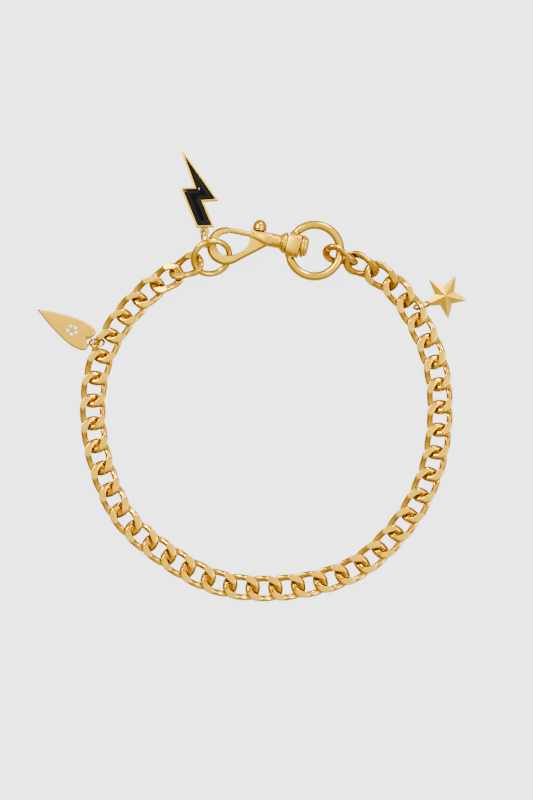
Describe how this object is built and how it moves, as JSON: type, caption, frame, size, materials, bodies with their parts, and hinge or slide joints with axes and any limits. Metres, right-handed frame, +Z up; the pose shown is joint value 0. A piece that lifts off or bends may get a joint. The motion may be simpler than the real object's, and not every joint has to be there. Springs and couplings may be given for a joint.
{
  "type": "charm necklace",
  "caption": "Closed curb-chain charm necklace laid in a round loop, fastened by a bolt snap and its swivel ring, with lightning bolt, heart and star charms.",
  "frame": {"origin": "centre of the lying necklace's box, on the surface it lies on", "axes": "+Z up from that surface, +Y from the chain's plain side towards the clasp, +X to the right seen from above"},
  "size_m": [0.1646, 0.1714, 0.0109],
  "materials": {
    "chain_gold": "gold-plated, satin ground flats and polished wire sides",
    "ring_gold": "gold-plated, polished",
    "clasp_gold": "gold-plated, satin",
    "charm_gold": "gold-plated, satin polished, the heart set with white stones",
    "black_enamel": "glossy enamel"
  },
  "bodies": {
    "necklace": {"link_01": "chain_gold", "link_02": "chain_gold", "link_03": "chain_gold", "link_04": "chain_gold", "link_05": "chain_gold", "link_06": "chain_gold", "link_07": "chain_gold", "link_08": "chain_gold", "link_09": "chain_gold", "link_10": "chain_gold", "link_11": "chain_gold", "link_12": "chain_gold", "link_13": "chain_gold", "link_14": "chain_gold", "link_15": "chain_gold", "link_16": "chain_gold", "link_17": "chain_gold", "link_18": "chain_gold", "link_19": "chain_gold", "link_20": "chain_gold", "link_21": "chain_gold", "link_22": "chain_gold", "link_23": "chain_gold", "link_24": "chain_gold", "link_25": "chain_gold", "link_26": "chain_gold", "link_27": "chain_gold", "link_28": "chain_gold", "link_29": "chain_gold", "link_30": "chain_gold", "link_31": "chain_gold", "link_32": "chain_gold", "link_33": "chain_gold", "link_34": "chain_gold", "link_35": "chain_gold", "link_36": "chain_gold", "link_37": "chain_gold", "link_38": "chain_gold", "link_39": "chain_gold", "link_40": "chain_gold", "link_41": "chain_gold", "link_42": "chain_gold", "swivel_ring": "ring_gold", "jump_ring": "ring_gold", "lightning_ring": "ring_gold", "heart_ring": "ring_gold", "star_ring": "ring_gold", "lightning_frame": "charm_gold", "lightning_enamel": "black_enamel", "heart": "charm_gold", "star": "charm_gold"},
    "hook": {"hook": "clasp_gold"},
    "bolt": {"bolt": "clasp_gold", "thumb_knob": "clasp_gold"}
  },
  "joints": [
    {"name": "hook_swivel", "type": "hinge", "parent": "necklace", "child": "hook", "pos_m": [0.01315, 0.05015, 0.00432], "axis": [0.981, -0.1942, 0], "range_deg": [-4, 1.5]},
    {"name": "bolt_slide", "type": "slide", "parent": "hook", "child": "bolt", "axis": [0.981, -0.1942, 0], "range_m": [0, 0.006], "stiffness_N_per_m": 100}
  ]
}
